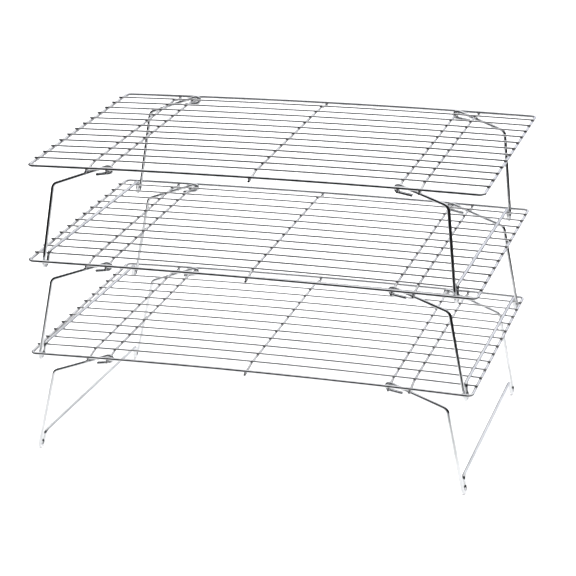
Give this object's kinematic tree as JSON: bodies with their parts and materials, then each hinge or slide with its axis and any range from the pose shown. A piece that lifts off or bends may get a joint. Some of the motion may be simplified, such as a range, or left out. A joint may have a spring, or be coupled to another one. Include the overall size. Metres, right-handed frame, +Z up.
{
  "type": "cooling rack",
  "caption": "Stacking wire cooling rack of rectangular chromed wire grids, each on two folding wire legs whose feet stand on the grid below.",
  "frame": {"origin": "middle of the rack, on the surface it stands on", "axes": "+X along the length to the right-hand end, -Y to the front, +Z up"},
  "size_m": [0.4154, 0.259, 0.2818],
  "materials": {
    "frame_wire": "bright chrome plated steel wire, 3 mm",
    "grid_wire": "bright chrome plated steel wire, 2 mm",
    "cross_wire": "bright chrome plated steel wire, 2.5 mm",
    "leg_wire": "bright chrome plated steel wire, 3.2 mm"
  },
  "bodies": {
    "bottom_grid": {"bottom_frame": "frame_wire", "bottom_grid_wire_01": "grid_wire", "bottom_grid_wire_02": "grid_wire", "bottom_grid_wire_03": "grid_wire", "bottom_grid_wire_04": "grid_wire", "bottom_grid_wire_05": "grid_wire", "bottom_grid_wire_06": "grid_wire", "bottom_grid_wire_07": "grid_wire", "bottom_grid_wire_08": "grid_wire", "bottom_grid_wire_09": "grid_wire", "bottom_grid_wire_10": "grid_wire", "bottom_grid_wire_11": "grid_wire", "bottom_grid_wire_12": "grid_wire", "bottom_cross_wire_left_outer": "cross_wire", "bottom_cross_wire_left_inner": "cross_wire", "bottom_cross_wire_middle": "cross_wire", "bottom_cross_wire_right_inner": "cross_wire", "bottom_cross_wire_right_outer": "cross_wire"},
    "bottom_left_leg": {"bottom_left_leg": "leg_wire"},
    "bottom_right_leg": {"bottom_right_leg": "leg_wire"},
    "middle_grid": {"middle_frame": "frame_wire", "middle_grid_wire_01": "grid_wire", "middle_grid_wire_02": "grid_wire", "middle_grid_wire_03": "grid_wire", "middle_grid_wire_04": "grid_wire", "middle_grid_wire_05": "grid_wire", "middle_grid_wire_06": "grid_wire", "middle_grid_wire_07": "grid_wire", "middle_grid_wire_08": "grid_wire", "middle_grid_wire_09": "grid_wire", "middle_grid_wire_10": "grid_wire", "middle_grid_wire_11": "grid_wire", "middle_grid_wire_12": "grid_wire", "middle_cross_wire_left_outer": "cross_wire", "middle_cross_wire_left_inner": "cross_wire", "middle_cross_wire_middle": "cross_wire", "middle_cross_wire_right_inner": "cross_wire", "middle_cross_wire_right_outer": "cross_wire"},
    "middle_left_leg": {"middle_left_leg": "leg_wire"},
    "middle_right_leg": {"middle_right_leg": "leg_wire"},
    "top_grid": {"top_frame": "frame_wire", "top_grid_wire_01": "grid_wire", "top_grid_wire_02": "grid_wire", "top_grid_wire_03": "grid_wire", "top_grid_wire_04": "grid_wire", "top_grid_wire_05": "grid_wire", "top_grid_wire_06": "grid_wire", "top_grid_wire_07": "grid_wire", "top_grid_wire_08": "grid_wire", "top_grid_wire_09": "grid_wire", "top_grid_wire_10": "grid_wire", "top_grid_wire_11": "grid_wire", "top_grid_wire_12": "grid_wire", "top_cross_wire_left_outer": "cross_wire", "top_cross_wire_left_inner": "cross_wire", "top_cross_wire_middle": "cross_wire", "top_cross_wire_right_inner": "cross_wire", "top_cross_wire_right_outer": "cross_wire"},
    "top_left_leg": {"top_left_leg": "leg_wire"},
    "top_right_leg": {"top_right_leg": "leg_wire"}
  },
  "joints": [
    {"name": "bottom_left_leg_fold", "type": "hinge", "parent": "bottom_grid", "child": "bottom_left_leg", "pos_m": [-0.133, 0, 0.09627], "axis": [0, -1, 0], "range_deg": [0, 126]},
    {"name": "bottom_right_leg_fold", "type": "hinge", "parent": "bottom_grid", "child": "bottom_right_leg", "pos_m": [0.1256, 0, 0.09627], "axis": [0, 1, 0], "range_deg": [0, 127]},
    {"name": "middle_tier_lift", "type": "slide", "parent": "bottom_grid", "child": "middle_grid", "axis": [0, 0, 1], "range_m": [0, 0.2]},
    {"name": "middle_left_leg_fold", "type": "hinge", "parent": "middle_grid", "child": "middle_left_leg", "pos_m": [-0.1306, 0, 0.18433], "axis": [0, -1, 0], "range_deg": [0, 127]},
    {"name": "middle_right_leg_fold", "type": "hinge", "parent": "middle_grid", "child": "middle_right_leg", "pos_m": [0.128, 0, 0.18433], "axis": [0, 1, 0], "range_deg": [0, 127]},
    {"name": "top_tier_lift", "type": "slide", "parent": "middle_grid", "child": "top_grid", "axis": [0, 0, 1], "range_m": [0, 0.2]},
    {"name": "top_left_leg_fold", "type": "hinge", "parent": "top_grid", "child": "top_left_leg", "pos_m": [-0.1262, 0, 0.27375], "axis": [0, -1, 0], "range_deg": [0, 126]},
    {"name": "top_right_leg_fold", "type": "hinge", "parent": "top_grid", "child": "top_right_leg", "pos_m": [0.1324, 0, 0.27581], "axis": [0, 1, 0], "range_deg": [0, 119]}
  ],
  "couplings": [
    {"joint": "middle_left_leg_fold", "follows": "middle_tier_lift", "rad_per_m": 11.08},
    {"joint": "middle_right_leg_fold", "follows": "middle_tier_lift", "rad_per_m": 11.08},
    {"joint": "top_left_leg_fold", "follows": "top_tier_lift", "rad_per_m": 10.99},
    {"joint": "top_right_leg_fold", "follows": "top_tier_lift", "rad_per_m": 10.38}
  ]
}
